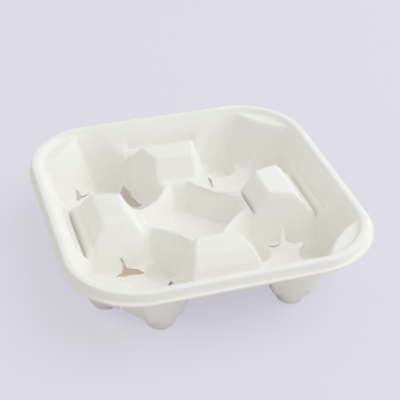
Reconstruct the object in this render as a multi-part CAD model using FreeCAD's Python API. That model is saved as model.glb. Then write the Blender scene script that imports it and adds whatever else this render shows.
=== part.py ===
"""A moulded-fibre carrier tray for four cups, in millimetres.

The tray is one thin sheet of white plant fibre, pressed between two moulds.  It has a
rounded square rim with a skirt and a flange, a flat ledge in each corner, four cup
pockets, a hollow post in the middle of each side and a deep well in the middle.
Each pocket is a cup-shaped cone pinched by three bowed walls.  Between the walls the cone
runs down into three round feet.  At the foot of each wall the sheet is split in a Y.

Frame: +Z is up, the origin is under the middle of the tray, on the plane of the feet.
The tray is the same in all four quarters, so one pocket is drawn and mirrored.
"""
import FreeCAD, Part
import math
import os

V = FreeCAD.Vector

# Whole tray
TRAY_SIDE = 215.0            # outer side of the flange
TRAY_HEIGHT = 49.0           # feet to the top of the rim
TRAY_CORNER = 52.2           # plan radius of the flange's corners
WALL = 1.2                   # thickness of the moulded sheet

# Rim, skirt and flange
RIM_RISE = 5.4               # rim top above the flange
FLANGE_WIDTH = 2.9
SKIRT_LEAN = 0.95            # how far the skirt leans in from its foot to its top
RIM_WIDTH = 5.65             # flat top, from the skirt to the inner wall
RIM_FILLET = 1.6             # rounded outer edge of the rim's top
RIM_WALL_SLOPE = 0.62        # inward run of the inner wall for each unit of depth

# Corner ledges
LEDGE_DROP = 3.4             # below the rim's top

# Posts, one in the middle of each side: distances in from the tray's edge
POST_OUTER_IN = 38.5
POST_INNER_IN = 57.2
POST_FOOT_IN = 66.3          # where the post's inner end meets the saddle
POST_INNER_DROP = 4.0        # the top slopes gently outwards, below the rim's top
POST_OUTER_DROP = 5.2

# Stepped channel between a post and the rim wall: distance in from the tray's edge, depth
# below the rim's top
CHANNEL = [(31.5, 13.2), (29.9, 16.9), (26.3, 18.2), (24.6, 21.6),
           (22.5, 21.9), (21.1, 18.8), (19.1, 16.9), (17.6, 13.0)]

# Saddle and well in the middle
SADDLE_DROP = 19.6           # ridge tops and saddles, below the rim's top
SADDLE_FLAT = 4.9            # flat strip between a post and the well
RIDGE = 2.5                  # width of the ridge between the well and a pocket
WELL_DROP = 40.4             # floor of the well, below the rim's top
WELL_FACET_RUN = 6.3         # how far the four small facets lean in, from top to floor
WELL_WALL_RUN = 5.3          # the same for the four bowed walls
WELL_BOW = 105.0             # plan radius of the bowed walls

# Cup pockets
POCKET_IN = 55.5             # centre of a pocket, in from two of the tray's edges
CUP_RADIUS_TOP = 45.9        # radius at the rim's top
CUP_RADIUS_BEND = 40.7       # radius where the flare meets the steeper cone
CUP_RADIUS_FLOOR = 35.0      # radius at the pocket's floor
BEND_DROP = 11.0             # where the flare ends, below the rim's top
HUB_LOBE_REACH = 43.2        # reach towards the middle of the tray at the saddles
HUB_LOBE_RADIUS = 39.4       # plan radius of that reach
HUB_FLOOR_REACH = 35.5       # the same two at the pocket's floor
HUB_FLOOR_RADIUS = 34.0
LOBE_DROP = 14.4             # the rim's inner wall ends here above the three-sided part
POCKET_DEPTH = 39.4          # pocket's floor, below the rim's top
PETAL_ANGLES = (45.0, 165.0, 285.0)
PETAL_BOW = 80.0             # plan radius of a bowed wall
PETAL_TOP = 36.5             # distance of a bowed wall from the pocket's centre, rim height
PETAL_FOOT = 22.8            # the same, at the pocket's floor

# Feet
FOOT_ANGLES = (105.0, 225.0, 345.0)
FOOT_PLACE = 24.2            # distance of a foot from its pocket's centre
FOOT_RADIUS = 8.5            # inside radius at the bottom
FOOT_RADIUS_TOP = 10.6       # inside radius at the pocket's floor

# Splits, one at the foot of each bowed wall.  Each outline runs round the hole: first the
# distance along the foot of the wall, then the distance up the wall, or out over the
# pocket's floor where it is negative.
PLAIN_SPLIT = [(-9.5, -0.4), (-2.8, 1.0), (-0.9, 7.4), (0.7, 7.8), (1.7, 1.4), (9.0, -0.3),
               (3.0, -2.4), (-4.0, -2.2)]
# Keys: side along X, side along Y, angle of the wall.
SPLITS = {
    (-1, -1, 285.0): [(2.3, 13.9), (-0.6, 13.0), (-1.1, 6.4), (-2.5, 2.2), (-8.8, -1.6),
                      (-12.6, -8.6), (-3.2, -5.5), (2.3, -4.1), (8.3, -1.3), (2.1, 1.0), (0.6, 6.2)],
    (-1, 1, 165.0): [(-16.0, -0.5), (-6.4, 0.8), (0.1, -0.9), (4.9, -0.8), (13.7, 0.0),
                     (13.4, -6.0), (7.2, -8.7), (0.7, -7.7), (-4.9, -6.5), (-14.4, -2.6)],
    (-1, 1, 45.0): [(-2.0, 8.8), (0.8, 5.7), (0.9, 0.4), (7.8, -4.3), (0.6, -3.2), (-4.3, -2.5),
                    (-5.7, 0.1), (-2.7, 4.0)],
    (1, -1, 285.0): [(-1.8, 14.5), (1.1, 14.3), (1.8, 4.0), (8.5, 0.2), (15.0, -0.1), (14.0, -4.8),
                     (4.0, -7.3), (-5.1, -6.6), (-11.8, -3.0), (-2.2, -0.6)],
    (1, 1, 45.0): [(3.0, 12.1), (1.1, 6.9), (-0.6, 0.6), (-9.0, -1.0), (-2.0, -2.5), (2.5, -2.4),
                   (9.0, -0.8), (4.0, 2.6)],
    (1, 1, 165.0): [(-9.4, -0.1), (-6.0, -2.6), (0.5, -3.3), (6.5, -4.0), (3.8, -1.2), (1.2, 0.6),
                    (0.5, 5.0), (-0.7, 4.8), (-1.2, 0.3)],
    (-1, -1, 165.0): [(9.6, -3.4), (8.3, -1.4), (4.0, -0.8), (3.6, -4.8), (6.5, -5.2)],
}
SPLIT_DEPTH = 7.0            # how far a split's cutter runs to either side of the sheet

# Places and heights that follow from the sizes above
TRAY_HALF = TRAY_SIDE / 2
POCKET_PLACE = TRAY_HALF - POCKET_IN
POST_FOOT = TRAY_HALF - POST_FOOT_IN
WELL_FACET = POST_FOOT - SADDLE_FLAT
WELL_WALL = POCKET_PLACE * math.sqrt(2) - HUB_LOBE_REACH - RIDGE
FLANGE_TOP = TRAY_HEIGHT - RIM_RISE
FLANGE_FOOT = FLANGE_TOP - WALL
LEDGE_TOP = TRAY_HEIGHT - LEDGE_DROP
SADDLE_TOP = TRAY_HEIGHT - SADDLE_DROP
WELL_FLOOR = TRAY_HEIGHT - WELL_DROP
POCKET_FLOOR = TRAY_HEIGHT - POCKET_DEPTH
CLEAR = 10.0                 # how far a cutting shape runs past what it cuts
SKIRT_HALF_FOOT = TRAY_HALF - FLANGE_WIDTH
SKIRT_HALF_TOP = SKIRT_HALF_FOOT - SKIRT_LEAN
BASIN_HALF_TOP = SKIRT_HALF_TOP - RIM_WIDTH


def rounded_square(half, z):
    """Closed wire of a rounded square whose corners share the flange's centres."""
    radius = TRAY_CORNER - (TRAY_HALF - half)
    core = half - radius
    middle = radius * math.sqrt(0.5)
    edges = []
    for quarter in range(4):
        turn = FreeCAD.Rotation(V(0, 0, 1), 90.0 * quarter)
        points = [turn.multVec(p) for p in (
            V(half, -core, z), V(half, core, z),
            V(core + middle, core + middle, z), V(core, half, z))]
        edges.append(Part.makeLine(points[0], points[1]))
        edges.append(Part.Arc(points[1], points[2], points[3]).toShape())
    return Part.Wire(edges)


def loft(wires):
    """Solid with straight sides between wires."""
    return Part.makeLoft(wires, True, True)


def circle(x, y, z, radius):
    return Part.Wire(Part.makeCircle(radius, V(x, y, z)))


def polar(distance, angle):
    """Plan point at an angle about a pocket's centre."""
    turn = math.radians(angle)
    return (POCKET_PLACE + distance * math.cos(turn),
            POCKET_PLACE + distance * math.sin(turn))


def on_line(start, end, z):
    """Value at height z on a straight run between two (z, value) pairs."""
    share = (z - start[0]) / (end[0] - start[0])
    return start[1] + share * (end[1] - start[1])


def slant(run, rise, wall):
    """Level width of a wall that leans by run over rise."""
    return wall * math.hypot(run, rise) / abs(rise)


def offset_chain(points, distance):
    """Open chain of (u, z) points moved by distance to its right-hand side."""
    lines = []
    for (u0, z0), (u1, z1) in zip(points, points[1:]):
        length = math.hypot(u1 - u0, z1 - z0)
        across = ((z1 - z0) / length * distance, -(u1 - u0) / length * distance)
        lines.append(((u0 + across[0], z0 + across[1]), (u1 + across[0], z1 + across[1])))
    moved = [lines[0][0]]
    for (a, b), (c, d) in zip(lines, lines[1:]):
        first = (b[0] - a[0], b[1] - a[1])
        second = (d[0] - c[0], d[1] - c[1])
        cross = first[0] * second[1] - first[1] * second[0]
        share = ((c[0] - a[0]) * second[1] - (c[1] - a[1]) * second[0]) / cross
        moved.append((a[0] + share * first[0], a[1] + share * first[1]))
    moved.append(lines[-1][1])
    return moved


def mirrored(shape):
    """The four quarter copies of a shape drawn in the +X +Y quarter."""
    pair = [shape, shape.mirror(V(0, 0, 0), V(1, 0, 0))]
    return pair + [copy.mirror(V(0, 0, 0), V(0, 1, 0)) for copy in pair]


def around(shape):
    """The four copies of a shape drawn on the +X side, turned to the four sides."""
    copies = []
    for quarter in range(4):
        copy = shape.copy()
        copy.rotate(V(0, 0, 0), V(0, 0, 1), 90.0 * quarter)
        copies.append(copy)
    return copies


def rim_block(wall, foot):
    """Solid under the rim's skirt and top, drawn in by the wall."""
    half_foot = SKIRT_HALF_FOOT - slant(SKIRT_LEAN, RIM_RISE, wall)
    half_top = SKIRT_HALF_TOP - slant(SKIRT_LEAN, RIM_RISE, wall)
    top = TRAY_HEIGHT - wall
    lean = SKIRT_LEAN / RIM_RISE
    return loft([rounded_square(half_foot + lean * (FLANGE_TOP - foot), foot),
                 rounded_square(half_top + lean * wall, top)])


def basin(wall):
    """Open space inside the rim's sloping inner wall."""
    run = slant(RIM_WALL_SLOPE, 1.0, wall)
    foot = SADDLE_TOP - CLEAR
    half_foot = BASIN_HALF_TOP + run - RIM_WALL_SLOPE * (TRAY_HEIGHT - foot)
    above = TRAY_HEIGHT + CLEAR
    return loft([rounded_square(half_foot, foot),
                 rounded_square(BASIN_HALF_TOP + run + RIM_WALL_SLOPE * CLEAR, above)])


def side_space(wall):
    """Open space over the saddle, a post and the channel beside it, on the +X side."""
    chain = [(0.0, SADDLE_TOP), (POST_FOOT, SADDLE_TOP),
             (TRAY_HALF - POST_INNER_IN, TRAY_HEIGHT - POST_INNER_DROP),
             (TRAY_HALF - POST_OUTER_IN, TRAY_HEIGHT - POST_OUTER_DROP)]
    chain += [(TRAY_HALF - inwards, TRAY_HEIGHT - drop) for inwards, drop in CHANNEL]
    chain.append((TRAY_HALF, chain[-1][1]))
    chain = offset_chain(chain, wall)
    above = TRAY_HEIGHT + CLEAR
    outline = [(chain[0][0], above)] + chain + [(chain[-1][0], above)]
    half = POST_FOOT - WALL
    wire = Part.makePolygon([V(u, -half, z) for u, z in outline + outline[:1]])
    space = Part.Face(wire).extrude(V(0, 2 * half, 0))
    return around(space)


def bowed_wall(place, angle, line, bow, wall):
    """Material behind one bowed wall: a leaning round bar with a very large radius.

    The line gives the wall's distance from the place at two heights.
    """
    (low, near), (high, far) = line
    lean = math.atan2(far - near, high - low)
    below = low - CLEAR
    middle = on_line(*line, below) + bow / math.cos(lean)
    turn = math.radians(angle)
    direction = V(math.sin(lean) * math.cos(turn), math.sin(lean) * math.sin(turn), math.cos(lean))
    base = V(place + middle * math.cos(turn), place + middle * math.sin(turn), below)
    base = base - direction * bow
    length = (high - below) / math.cos(lean) + 3 * bow
    return Part.makeCylinder(bow - wall, length, base, direction)


def pocket(wall):
    """Open space of one cup pocket and its three feet."""
    bend = TRAY_HEIGHT - BEND_DROP
    above = TRAY_HEIGHT + CLEAR
    low_line = ((POCKET_FLOOR, CUP_RADIUS_FLOOR), (bend, CUP_RADIUS_BEND))
    top_line = ((bend, CUP_RADIUS_BEND), (TRAY_HEIGHT, CUP_RADIUS_TOP))
    hub_line = ((POCKET_FLOOR, HUB_FLOOR_RADIUS), (SADDLE_TOP, HUB_LOBE_RADIUS))
    hub_shift = ((POCKET_FLOOR, HUB_FLOOR_REACH - HUB_FLOOR_RADIUS),
                 (SADDLE_TOP, HUB_LOBE_REACH - HUB_LOBE_RADIUS))
    floor = POCKET_FLOOR - wall
    spread = slant(CUP_RADIUS_BEND - CUP_RADIUS_FLOOR, bend - POCKET_FLOOR, wall)
    flare = slant(CUP_RADIUS_TOP - CUP_RADIUS_BEND, BEND_DROP, wall)
    rings = [circle(POCKET_PLACE, POCKET_PLACE, z, radius + grow) for z, radius, grow in (
        (floor, on_line(*low_line, floor), spread), (bend, CUP_RADIUS_BEND, spread),
        (above, on_line(*top_line, above), flare))]
    hub_rings = []
    for z in (floor, TRAY_HEIGHT - WALL):
        x, y = polar(on_line(*hub_shift, z), FOOT_ANGLES[1])
        hub_rings.append(circle(x, y, z, on_line(*hub_line, z) + spread))
    lobe_foot = TRAY_HEIGHT - LOBE_DROP - wall
    lobe_tops = Part.makeBox(TRAY_HALF, TRAY_HALF, above - lobe_foot, V(0, 0, lobe_foot))
    cup = loft(rings).fuse([loft(hub_rings), lobe_tops.common(basin(wall))])
    petal_line = ((POCKET_FLOOR, PETAL_FOOT), (TRAY_HEIGHT, PETAL_TOP))
    cup = cup.cut([bowed_wall(POCKET_PLACE, angle, petal_line, PETAL_BOW, wall)
                   for angle in PETAL_ANGLES])
    feet = []
    flare = slant(FOOT_RADIUS_TOP - FOOT_RADIUS, POCKET_FLOOR - WALL, wall)
    cone = ((WALL, FOOT_RADIUS), (POCKET_FLOOR, FOOT_RADIUS_TOP))
    foot_floor = WALL - wall
    for angle in FOOT_ANGLES:
        x, y = polar(FOOT_PLACE, angle)
        feet.append(loft([circle(x, y, z, on_line(*cone, z) + flare)
                          for z in (foot_floor, POCKET_FLOOR + WALL)]))
    return [cup] + feet


def well(wall):
    """Open space of the well: a tapered square with its corners cut by bowed walls."""
    rise = SADDLE_TOP - WELL_FLOOR
    line = ((WELL_FLOOR, WELL_FACET - WELL_FACET_RUN), (SADDLE_TOP, WELL_FACET))
    grow = slant(WELL_FACET_RUN, rise, wall)
    wires = []
    for z in (WELL_FLOOR - wall, SADDLE_TOP + CLEAR):
        half = on_line(*line, z) + grow
        corners = [V(half, half, z), V(-half, half, z), V(-half, -half, z), V(half, -half, z)]
        wires.append(Part.makePolygon(corners + corners[:1]))
    walls = ((WELL_FLOOR, WELL_WALL - WELL_WALL_RUN), (SADDLE_TOP, WELL_WALL))
    bars = mirrored(bowed_wall(0.0, PETAL_ANGLES[0], walls, WELL_BOW, wall))
    return loft(wires).cut(bars)


def open_space(wall):
    """Everything hollow above the sheet, grown by the wall for the underside."""
    over_ledges = Part.makeBox(TRAY_SIDE, TRAY_SIDE, CLEAR + LEDGE_DROP + wall,
                               V(-TRAY_HALF, -TRAY_HALF, LEDGE_TOP - wall))
    inside_rim = over_ledges.fuse(side_space(wall)).common(basin(wall))
    pockets = []
    for shape in pocket(wall):
        pockets += mirrored(shape)
    return inside_rim.fuse(pockets + [well(wall)])


def split(side_x, side_y, angle):
    """Cutter for one split, square to the fold between a bowed wall and the floor."""
    points = []
    for along, climb in SPLITS.get((side_x, side_y, angle), PLAIN_SPLIT):
        bow = along * along / (2 * PETAL_BOW)
        share = (climb + bow) / 2
        points.append(V(PETAL_FOOT + share - SPLIT_DEPTH, along, POCKET_FLOOR + share + SPLIT_DEPTH))
    face = Part.Face(Part.makePolygon(points + points[:1]))
    cutter = face.extrude(V(1.4 * SPLIT_DEPTH, 0, -1.4 * SPLIT_DEPTH))
    cutter.rotate(V(0, 0, 0), V(0, 0, 1), angle)
    cutter.translate(V(POCKET_PLACE, POCKET_PLACE, 0))
    if side_x < 0:
        cutter = cutter.mirror(V(0, 0, 0), V(1, 0, 0))
    if side_y < 0:
        cutter = cutter.mirror(V(0, 0, 0), V(0, 1, 0))
    return cutter


def tray():
    """The whole moulded sheet as one solid."""
    outer = rim_block(0.0, FLANGE_FOOT)
    rim_top = [edge for edge in outer.Edges
               if abs(edge.BoundBox.ZMin - TRAY_HEIGHT) < WALL / 2]
    outer = outer.makeFillet(RIM_FILLET, rim_top)
    rim = outer.cut(rim_block(WALL, FLANGE_FOOT - CLEAR))
    flange = Part.Face(rounded_square(TRAY_HALF, FLANGE_FOOT)).extrude(V(0, 0, WALL))
    inside_flange = Part.Face(rounded_square(SKIRT_HALF_FOOT - WALL / 2, FLANGE_FOOT - CLEAR))
    flange = flange.cut(inside_flange.extrude(V(0, 0, 2 * CLEAR)))
    below_rim = Part.makeBox(TRAY_SIDE, TRAY_SIDE, TRAY_HEIGHT,
                             V(-TRAY_HALF, -TRAY_HALF, 0))
    inner = Part.Face(rounded_square(SKIRT_HALF_TOP - WALL, 0)).extrude(V(0, 0, TRAY_HEIGHT))
    skin = open_space(WALL).common(below_rim.common(inner))
    sheet = rim.fuse([flange, skin]).cut(open_space(0.0))
    sheet = sheet.cut([split(side_x, side_y, angle) for side_x in (-1, 1)
                       for side_y in (-1, 1) for angle in PETAL_ANGLES])
    return sheet.removeSplitter()


os.makedirs("parts", exist_ok=True)
shape = tray()
pieces = sorted(shape.Solids, key=lambda solid: solid.Volume)
print("solids", len(pieces), "valid", shape.isValid(), "volume cm3", round(shape.Volume / 1000, 2))
print("box", shape.BoundBox)
pieces[-1].exportStep("parts/cup_carrier_tray.step")
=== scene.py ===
"""A moulded-fibre cup carrier tray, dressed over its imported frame.  Lengths are in metres."""

import math

import bmesh
import bpy
import numpy as np
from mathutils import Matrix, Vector
from mathutils.bvhtree import BVHTree


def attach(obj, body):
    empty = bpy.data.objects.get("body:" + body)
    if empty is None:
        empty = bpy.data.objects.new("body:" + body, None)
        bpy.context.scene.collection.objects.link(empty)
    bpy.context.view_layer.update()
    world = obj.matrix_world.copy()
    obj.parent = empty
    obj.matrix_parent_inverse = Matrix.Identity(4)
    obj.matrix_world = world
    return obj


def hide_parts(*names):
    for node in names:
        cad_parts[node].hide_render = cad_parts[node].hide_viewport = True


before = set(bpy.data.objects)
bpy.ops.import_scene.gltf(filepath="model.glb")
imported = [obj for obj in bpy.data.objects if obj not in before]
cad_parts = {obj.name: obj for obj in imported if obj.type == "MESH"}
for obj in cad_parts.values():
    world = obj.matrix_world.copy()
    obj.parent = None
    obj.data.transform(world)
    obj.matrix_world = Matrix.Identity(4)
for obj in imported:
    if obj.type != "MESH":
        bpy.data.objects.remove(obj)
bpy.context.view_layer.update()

# The moulded sheet.
# White plant-fibre pulp, sucked on to a wire-covered former, then pressed and dried in one
# piece.  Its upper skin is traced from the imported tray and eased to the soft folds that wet
# pulp takes.
MM = 0.001
SIDE = 215.0 * MM
CORNER = 52.2 * MM             # radius of the outline's corners
SHEET = 1.2 * MM
FOLD = 0.7 * MM                # spread of a fold to either side of its crease
RIM_FOLD = 0.12 * MM           # the same on the crisper rim, skirt and flange
TRACE_STEP = 0.45 * MM
TRACE_FROM = 100.0 * MM        # height above the table from which the skin is traced
UPWARD = 0.05                  # a face that looks up less than this is the edge of a split
GAP_PASSES = 60                # each closes a split by one trace step from its edges
RIM_START = 100.0 * MM         # on the rim's flat top, out from the tray's middle

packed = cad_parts["cup_carrier_tray"]
traced = bmesh.new()
traced.from_mesh(packed.data)
bmesh.ops.remove_doubles(traced, verts=traced.verts, dist=1e-7)
tree = BVHTree.FromBMesh(traced)
traced.free()


def skin_height(x, y):
    """Height of the upper skin at a plan point, or NaN over a hole."""
    hit = tree.ray_cast(Vector((x, y, TRACE_FROM)), Vector((0, 0, -1)))
    return hit[0].z if hit[0] is not None and hit[1].z > UPWARD else math.nan


def blurred(values, spread, step):
    """Values eased by a bell curve along every axis, leaving out what isn't a number."""
    reach = int(math.ceil(3 * spread / step))
    bell = np.exp(-0.5 * (np.arange(-reach, reach + 1) * step / spread) ** 2)
    known = np.where(np.isnan(values), 0.0, 1.0)
    total = np.where(np.isnan(values), 0.0, values)
    for axis in range(values.ndim):
        known = np.apply_along_axis(np.convolve, axis, known, bell, "same")
        total = np.apply_along_axis(np.convolve, axis, total, bell, "same")
    return total / np.maximum(known, 1e-9)


# The tray is the same in its four quarters and across their diagonals, so a place that a
# split leaves open is taken from the same place elsewhere.
half_count = int(SIDE / 2 / TRACE_STEP)
axis_values = (np.arange(-half_count, half_count) + 0.5) * TRACE_STEP
field = np.array([[skin_height(x, y) for y in axis_values] for x in axis_values])
alike = [turned for plain in (field, field.T)
         for turned in (plain, plain[::-1], plain[:, ::-1], plain[::-1, ::-1])]
field = np.fmax.reduce(alike)
reach = np.abs(axis_values)
inside_rim = np.maximum(reach[:, None], reach[None, :]) < RIM_START
for _ in range(GAP_PASSES):
    gaps = np.isnan(field) & inside_rim
    if not gaps.any():
        break
    near = np.stack([np.roll(field, shift, axis) for shift in (1, -1) for axis in (0, 1)])
    count_near = np.sum(~np.isnan(near), axis=0)
    mean = np.nansum(near, axis=0) / np.maximum(count_near, 1)
    field = np.where(gaps & (count_near > 0), mean, field)
field = blurred(field, FOLD, TRACE_STEP)

# Three grooves are pressed along each channel between a post and the rim.  The foot of the
# right-hand post's inner end is creased deeper, and the rim's inner wall starts with a
# steeper turn.
GROOVES = [(77.3, 2.6, 0.9), (84.0, 5.2, 1.2), (89.4, 4.6, 1.3)]    # place, depth, spread
GROOVE_HALF = 27.0 * MM
CREASE_PLACE = 41.5 * MM
CREASE_DEPTH = 6.5 * MM
CREASE_HALF = 13.0 * MM
CREASE_SPREAD = 0.95 * MM
TURN_PLACE = 97.2 * MM
TURN_DEPTH = 1.2 * MM

across, up = np.meshgrid(axis_values, axis_values, indexing="ij")
for place, depth, spread in GROOVES:
    for out, along in ((across, up), (-across, up), (up, across), (-up, across)):
        ends = 1 / (1 + np.exp((np.abs(along) - GROOVE_HALF) / MM))
        field -= depth * MM * ends * np.exp(-((out / MM - place) / spread) ** 2)
ends = 1 / (1 + np.exp((np.abs(up) - CREASE_HALF) / MM))
field -= CREASE_DEPTH * ends * np.exp(-((across - CREASE_PLACE) / CREASE_SPREAD) ** 2)
core = SIDE / 2 - CORNER
corner_x, corner_y = np.abs(across) - core, np.abs(up) - core
ring = core + np.where((corner_x > 0) & (corner_y > 0), np.hypot(corner_x, corner_y),
                       np.maximum(corner_x, corner_y))
field -= TURN_DEPTH * np.exp(-((ring - TURN_PLACE) / CREASE_SPREAD) ** 2)


def between(values, x, y):
    """A traced value at plan points, between the four nearest traced ones."""
    i = np.clip(x / TRACE_STEP + half_count - 0.5, 0, 2 * half_count - 1.001)
    j = np.clip(y / TRACE_STEP + half_count - 0.5, 0, 2 * half_count - 1.001)
    i0, j0 = i.astype(int), j.astype(int)
    a, b = i - i0, j - j0
    return ((1 - a) * (1 - b) * values[i0, j0] + a * (1 - b) * values[i0 + 1, j0]
            + (1 - a) * b * values[i0, j0 + 1] + a * b * values[i0 + 1, j0 + 1])


# The sheet is a square grid bent on to rings of rounded squares.  Its lines draw together
# where the skin is steep, so the walls and grooves get as many as the flats.  The rim keeps
# its own lines and one section all round.
PITCH = 1.2 * MM
RIM_LINES = [100.9, 101.7, 102.3, 102.8, 103.2, 103.55, 103.8, 104.05, 104.3, 104.55, 104.8,
             105.3, 106.0, 106.7, 107.2, 107.48]
PROFILE_STEP = 0.05 * MM
PROFILE_LEAD = 2.0 * MM        # the rim's section is read from this far inside its start
PROFILE_PLACE = 3.0 * MM       # and this far beside the tray's middle line
SETTLE_PASSES = 20
SETTLE_SHARE = 0.8
STEEPEST = 5.0                 # a steeper slope draws the lines no closer
STEEP_SPREAD = 0.9 * MM


def rounded(u, v):
    """A point of the square grid moved on to rings of rounded squares."""
    a, b = abs(u) - core, abs(v) - core
    if a <= 0 or b <= 0:
        return u, v
    far = max(a, b)
    turn = math.pi / 4 * (b / a if a >= b else 2 - a / b)
    return (math.copysign(core + far * math.cos(turn), u),
            math.copysign(core + far * math.sin(turn), v))


profile_reach = np.arange(RIM_START - PROFILE_LEAD, SIDE / 2, PROFILE_STEP)
profile = blurred(np.array([skin_height(x, PROFILE_PLACE) for x in profile_reach]),
                  RIM_FOLD, PROFILE_STEP)
inner = int(round(RIM_START / PITCH))
lines = [RIM_START * step / inner for step in range(-inner, inner + 1)]
lines = [-r * MM for r in reversed(RIM_LINES)] + lines + [r * MM for r in RIM_LINES]
count = len(lines)
steep = np.hypot(*np.gradient(field, TRACE_STEP))
steep = blurred(np.hypot(1.0, np.minimum(steep, STEEPEST)), STEEP_SPREAD, TRACE_STEP)
plan = np.array([[rounded(u, v) for v in lines] for u in lines])
rings = np.maximum(np.abs(lines)[:, None], np.abs(lines)[None, :])
on_rim = rings > RIM_START - PITCH / 2
for _ in range(SETTLE_PASSES):
    pull = np.zeros((count, count, 1))
    moved = np.zeros((count, count, 2))
    for low, high in ((np.s_[:-1, :], np.s_[1:, :]), (np.s_[:, :-1], np.s_[:, 1:])):
        middle = (plan[low] + plan[high]) / 2
        weight = between(steep, middle[:, :, 0], middle[:, :, 1])[:, :, None]
        pull[low] += weight
        moved[low] += weight * plan[high]
        pull[high] += weight
        moved[high] += weight * plan[low]
    plan = np.where(on_rim[:, :, None], plan, plan + SETTLE_SHARE * (moved / pull - plan))
height = np.where(on_rim, np.interp(rings, profile_reach, profile),
                  between(field, plan[:, :, 0], plan[:, :, 1]))

# Along the left side the flange hangs and draws in a little.
DROOP_START = 104.2 * MM
DROOP = 3.4 * MM
DROOP_IN = 0.018               # share of its distance from the middle
DROOP_FADE = 8.0 * MM          # to either side of the tray's corners

leftness = np.clip((-plan[:, :, 0] - np.abs(plan[:, :, 1]) + DROOP_FADE) / (2 * DROOP_FADE), 0, 1)
hang = leftness * np.clip((rings - DROOP_START) / (SIDE / 2 - DROOP_START), 0, 1)
height = height - DROOP * hang
plan = plan * (1 - DROOP_IN * hang[:, :, None])

sheet = bmesh.new()
bmesh.ops.create_grid(sheet, x_segments=count - 1, y_segments=count - 1, size=1.0)
for vert in sheet.verts:
    i = int(round((vert.co.x + 1) / 2 * (count - 1)))
    j = int(round((vert.co.y + 1) / 2 * (count - 1)))
    vert.co = (plan[i, j, 0], plan[i, j, 1], height[i, j])
bmesh.ops.recalc_face_normals(sheet, faces=sheet.faces)
sheet.faces.ensure_lookup_table()
if sheet.faces[len(sheet.faces) // 2].normal.z < 0:
    bmesh.ops.reverse_faces(sheet, faces=sheet.faces)

# Splits at the feet of the bowed walls.
# The wet sheet tears where the walls of a pocket are drawn deepest, into ragged Y-shaped
# holes with pointed tips.  Each outline gives, in millimetres, the distance along the foot
# of the wall and the distance up it, or out over the pocket's floor where it is negative.
POCKET = 52.0 * MM             # the pockets' middles, out from the tray's both ways
FLOOR = 9.6 * MM
WALL_ANGLES = (45, 165, 285)
WALL_FOOT = 22.8 * MM
WALL_BOW = 80.0 * MM
WALL_HALF = 18.0 * MM          # a split stays within this distance of its wall's middle,
WALL_CLIMB = 20.0 * MM         # this far up the wall,
FLOOR_DIP = 4.0 * MM           # this far under the pocket's floor
FLOOR_MIDDLE = 8.0 * MM        # and outside this distance from the pocket's middle
EDGE_ZONE = 1.1 * MM           # close to a split the mesh is finer, for its ragged edge
EDGE_CUTS = 2
PLAIN_SPLIT = [(-9.5, -0.4), (-6.0, 0.6), (-2.8, 1.0), (-1.5, 3.4), (-0.9, 7.4), (0.7, 7.8),
               (0.9, 4.0), (1.7, 1.4), (5.0, 0.5), (9.0, -0.3), (3.0, -2.4), (-0.5, -1.9),
               (-4.0, -2.2)]
# Keyed by the pocket's side across and up, and the wall's angle round the pocket.
SPLITS = {
    (-1, -1, 285): [(2.3, 13.9), (0.4, 13.5), (-0.9, 10.2), (-1.1, 6.3), (-2.5, 2.2), (-4.1, 0.8),
                    (-8.8, -1.6), (-10.6, -5.5), (-12.6, -9.2), (-7.5, -7.8), (-3.2, -5.5),
                    (2.3, -4.1), (8.3, -1.3), (4.7, -0.8), (2.1, 1.0), (1.0, 3.5), (0.9, 5.8),
                    (0.0, 6.7), (0.8, 9.1), (1.5, 11.8)],
    (-1, 1, 165): [(-16.0, -0.5), (-11.9, 0.1), (-6.4, 0.8), (-3.1, 1.1), (0.1, -0.9), (4.9, -0.8),
                   (11.0, -1.4), (13.7, 0.0), (14.3, -3.0), (13.4, -6.6), (10.3, -8.7),
                   (7.2, -8.7), (0.7, -7.7), (-4.9, -6.5), (-9.2, -6.2), (-12.8, -3.8),
                   (-14.6, -1.9)],
    (-1, 1, 45): [(-2.0, 8.8), (-0.6, 7.2), (0.8, 5.7), (0.6, 0.8), (2.2, -1.8), (7.8, -4.3),
                  (0.6, -3.2), (-1.7, -1.6), (-4.3, -2.5), (-5.7, 0.1), (-3.8, 2.4), (-2.6, 5.9)],
    (1, -1, 285): [(-1.8, 14.5), (1.1, 14.3), (1.6, 4.9), (2.7, 1.5), (8.5, 0.2), (15.0, -0.1),
                   (14.4, -4.8), (11.2, -7.5), (4.0, -7.3), (-5.1, -6.6), (-11.8, -3.0),
                   (-6.2, -3.0), (-2.0, -0.6), (-1.7, 7.8)],
    (1, 1, 45): [(3.0, 12.1), (1.1, 6.9), (-0.6, -0.3), (2.5, -1.2), (4.0, 2.6), (3.1, 8.3)],
    (1, 1, 165): [(-7.2, -1.7), (-5.0, -2.9), (0.5, -3.3), (6.0, -4.0), (4.1, -2.1), (0.4, -0.6),
                  (-3.6, -0.5), (-9.4, -0.1)],
    (-1, -1, 165): [(9.5, -3.5), (8.3, -2.0), (6.1, -0.9), (4.0, -1.1), (4.2, -5.2), (6.3, -4.9)],
}


def on_wall(points, side_x, side_y, angle):
    """Distances along a bowed wall's foot and up it, for points near that wall."""
    turn = math.radians(angle)
    x, y = side_x * points[:, 0] - POCKET, side_y * points[:, 1] - POCKET
    out, along = x * math.cos(turn) + y * math.sin(turn), y * math.cos(turn) - x * math.sin(turn)
    climb = points[:, 2] - FLOOR + out - WALL_FOOT - along ** 2 / (2 * WALL_BOW)
    near = ((out > FLOOR_MIDDLE) & (np.abs(along) < WALL_HALF)
            & (points[:, 2] > FLOOR - FLOOR_DIP) & (np.abs(climb) < WALL_CLIMB))
    return np.stack([along, climb], axis=1), near


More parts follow.
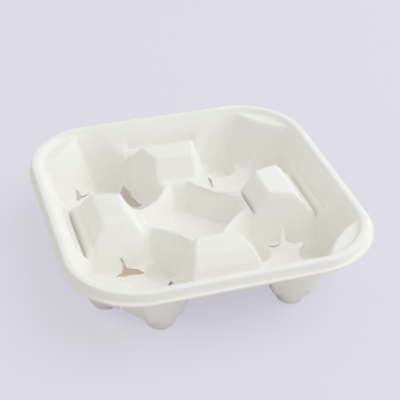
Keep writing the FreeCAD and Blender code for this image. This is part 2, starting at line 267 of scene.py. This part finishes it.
def in_and_near(spots, outline):
    """Whether spots lie inside an outline, and how far they are from it."""
    corners = np.array(outline) * MM
    inside = np.zeros(len(spots), dtype=bool)
    distance = np.full(len(spots), math.inf)
    for start, end in zip(corners, np.roll(corners, -1, axis=0)):
        crosses = (start[1] > spots[:, 1]) != (end[1] > spots[:, 1])
        with np.errstate(divide="ignore", invalid="ignore"):
            cut = start[0] + (spots[:, 1] - start[1]) / (end[1] - start[1]) * (end[0] - start[0])
        inside ^= crosses & (spots[:, 0] < cut)
        run = end - start
        share = np.clip(((spots - start) @ run) / (run @ run), 0, 1)[:, None]
        distance = np.minimum(distance, np.linalg.norm(spots - start - share * run, axis=1))
    return inside, distance


def judge(faces):
    """Which faces lie in a split, and which lie close to the edge of one."""
    points = np.array([face.calc_center_median() for face in faces])
    torn = np.zeros(len(points), dtype=bool)
    edge = np.zeros(len(points), dtype=bool)
    for side_x in (-1, 1):
        for side_y in (-1, 1):
            for angle in WALL_ANGLES:
                outline = SPLITS.get((side_x, side_y, angle), PLAIN_SPLIT)
                spots, near = on_wall(points, side_x, side_y, angle)
                inside, distance = in_and_near(spots[near], outline)
                torn[near] |= inside
                edge[near] |= distance < EDGE_ZONE
    return torn, edge


torn, edge = judge(sheet.faces)
finer = {e for face, close in zip(sheet.faces[:], edge) if close for e in face.edges}
bmesh.ops.subdivide_edges(sheet, edges=list(finer), cuts=EDGE_CUTS, use_grid_fill=True)
torn, edge = judge(sheet.faces)
lost = [face for face, gone in zip(sheet.faces[:], torn) if gone]
bmesh.ops.delete(sheet, geom=lost, context="FACES")

tray_mesh = bpy.data.meshes.new("tray_sheet")
bmesh.ops.solidify(sheet, geom=sheet.faces[:], thickness=SHEET)
bmesh.ops.recalc_face_normals(sheet, faces=sheet.faces)
sheet.to_mesh(tray_mesh)
sheet.free()
tray = bpy.data.objects.new("tray_sheet", tray_mesh)
bpy.context.scene.collection.objects.link(tray)
for face in tray_mesh.polygons:
    face.use_smooth = True
tray_mesh.set_sharp_from_angle(angle=math.radians(60))


def linear(hexa):
    """An sRGB hex colour as linear RGBA."""
    parts = [int(hexa[k:k + 2], 16) / 255 for k in (1, 3, 5)]
    return tuple(p / 12.92 if p <= 0.04045 else ((p + 0.055) / 1.055) ** 2.4 for p in parts) + (1.0,)


def node(web, kind, settings=None, links=None):
    """Adds one node with its settings and links."""
    made = web.nodes.new(kind)
    for key, value in (settings or {}).items():
        if isinstance(key, int) or key in made.inputs:
            made.inputs[key].default_value = value
        else:
            setattr(made, key, value)
    for key, source in (links or {}).items():
        web.links.new(source, made.inputs[key])
    return made


# Bleached moulded pulp: matt, slightly warm white, pressed on wire mesh.  It gives soft
# shade with no gloss, faint clouds where the fibres lie thicker, and a fine cross-hatched
# grain from the wires, 1.3 mm apart.
THIN_PULP = linear("#F7F5EE")
THICK_PULP = linear("#FBFAF5")
CLOUD_SCALE = 70.0             # clouds about 14 mm wide
SWELL_SCALE = 60.0             # gentle waves of the skin, about 17 mm
FIBRE_SCALE = 600.0            # fibres, about 1.7 mm: coarser than the real ones, to show
WIRE_SCALE = 2 * math.pi / 20 / (1.309 * MM)

pulp = bpy.data.materials.new("bleached_moulded_pulp")
pulp.use_nodes = True
web = pulp.node_tree
web.nodes.clear()
here = node(web, "ShaderNodeTexCoord").outputs["Object"]
cloud = node(web, "ShaderNodeTexNoise", {"Scale": CLOUD_SCALE, "Detail": 4.0}, {"Vector": here})
tint = node(web, "ShaderNodeMix", {"data_type": "RGBA", 6: THIN_PULP, 7: THICK_PULP},
            {"Factor": cloud.outputs["Fac"]})
wires_x, wires_y = (node(web, "ShaderNodeTexWave",
                         {"bands_direction": direction, "Scale": WIRE_SCALE, "Distortion": 0.6,
                          "Detail": 1.0}, {"Vector": here}) for direction in "XY")
grid = node(web, "ShaderNodeMath", {"operation": "ADD"},
            {0: wires_x.outputs["Fac"], 1: wires_y.outputs["Fac"]})
wire_bump = node(web, "ShaderNodeBump", {"Strength": 0.12, "Distance": 0.1 * MM},
                 {"Height": grid.outputs[0]})
fibre = node(web, "ShaderNodeTexNoise", {"Scale": FIBRE_SCALE, "Detail": 4.0}, {"Vector": here})
fibre_bump = node(web, "ShaderNodeBump", {"Strength": 0.25, "Distance": 0.2 * MM},
                  {"Height": fibre.outputs["Fac"], "Normal": wire_bump.outputs["Normal"]})
swell = node(web, "ShaderNodeTexNoise", {"Scale": SWELL_SCALE, "Detail": 2.0}, {"Vector": here})
swell_bump = node(web, "ShaderNodeBump", {"Strength": 0.35, "Distance": 1.2 * MM},
                  {"Height": swell.outputs["Fac"], "Normal": fibre_bump.outputs["Normal"]})
shader = node(web, "ShaderNodeBsdfPrincipled", {"Roughness": 0.85, "IOR": 1.47},
              {"Base Color": tint.outputs[2], "Normal": swell_bump.outputs["Normal"]})
node(web, "ShaderNodeOutputMaterial", {}, {"Surface": shader.outputs["BSDF"]})
tray_mesh.materials.append(pulp)
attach(tray, "root")
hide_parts("cup_carrier_tray")

# The table.
# A plain pale lilac top.  What the camera sees of it is partly its own even colour, which keeps the
# shadow light.
# Below the splits that colour is painted with light and shade in soft spots: warm and pale ones are
# painted light that stands for the light through the pulp, darker ones are painted shade under the
# tray, and they show in the splits.
TABLE_HALF = 4.0
TABLE_COLOUR = linear("#E8E6EA")
TABLE_SEEN = linear("#E0DEEA")
SEEN_SHARE = 0.66
# Painted light and shade seen through the splits: place across and up, reach in millimetres, and
# colour.
PAINTED_SPLIT_LIGHT_AND_SHADE = [(-50, -12, 28, "#DCCCAF"), (-28, 70, 24, "#C6BEAA"), (-63, 81, 16, "#D4D5CF"),
              (36, 72, 22, "#EAE8E3"), (69, -15, 22, "#FFFDF4")]

floor_mesh = bpy.data.meshes.new("floor")
ground = bmesh.new()
bmesh.ops.create_grid(ground, x_segments=1, y_segments=1, size=TABLE_HALF)
ground.to_mesh(floor_mesh)
ground.free()
floor = bpy.data.objects.new("floor", floor_mesh)
bpy.context.scene.collection.objects.link(floor)
table = bpy.data.materials.new("pale_table")
table.use_nodes = True
web = table.node_tree
web.nodes.clear()
rays = node(web, "ShaderNodeLightPath")
here = node(web, "ShaderNodeTexCoord").outputs["Object"]
plain = node(web, "ShaderNodeRGB")
plain.outputs[0].default_value = TABLE_SEEN
seen = plain.outputs[0]
# Each spot mixes painted light or painted shade into the colour the camera sees of the table.
for x, y, spread, colour in PAINTED_SPLIT_LIGHT_AND_SHADE:
    away = node(web, "ShaderNodeVectorMath", {"operation": "DISTANCE", 1: (x * MM, y * MM, 0)},
                {0: here})
    fade = node(web, "ShaderNodeMapRange",
                {"interpolation_type": "SMOOTHSTEP", 1: spread * MM, 2: spread * MM / 2},
                {0: away.outputs["Value"]})
    seen = node(web, "ShaderNodeMix", {"data_type": "RGBA", 7: linear(colour)},
                {0: fade.outputs[0], 6: seen}).outputs[2]
share = node(web, "ShaderNodeMath", {"operation": "MULTIPLY", 1: SEEN_SHARE},
             {0: rays.outputs["Is Camera Ray"]})
matt = node(web, "ShaderNodeBsdfDiffuse", {"Color": TABLE_COLOUR})
even = node(web, "ShaderNodeEmission", {"Strength": 1.0}, {"Color": seen})
both = node(web, "ShaderNodeMixShader", {},
            {0: share.outputs[0], 1: matt.outputs[0], 2: even.outputs[0]})
node(web, "ShaderNodeOutputMaterial", {}, {"Surface": both.outputs[0]})
floor_mesh.materials.append(table)

# Light and camera.
# An even, nearly white room all round and one very broad soft lamp, high on the right.  The
# camera looks down on the tray from the front, a little to the left, with a long lens.
world = bpy.data.worlds.new("room")
bpy.context.scene.world = world
world.use_nodes = True
world.node_tree.nodes["Background"].inputs["Color"].default_value = linear("#FCFBFA")
world.node_tree.nodes["Background"].inputs["Strength"].default_value = 0.67

lamp = bpy.data.lights.new("window", "AREA")
lamp.shape = "DISK"
lamp.size = 2.4
lamp.energy = 13.0
lamp.color = (0.92, 0.98, 1.06)
window = bpy.data.objects.new("window", lamp)
bpy.context.scene.collection.objects.link(window)
window.location = (1.12, -0.10, 1.10)
window.rotation_euler = (-window.location).to_track_quat("-Z", "Y").to_euler()

lens = bpy.data.cameras.new("camera")
lens.sensor_width = 36.0
lens.lens = 97.25
camera = bpy.data.objects.new("camera", lens)
camera.location = (-0.18755, -0.59718, 0.47121)
camera.rotation_euler = [math.radians(a) for a in (55.3451, -0.6976, -17.3798)]
bpy.context.scene.collection.objects.link(camera)
bpy.context.scene.camera = camera
bpy.context.scene.view_settings.view_transform = "Standard"
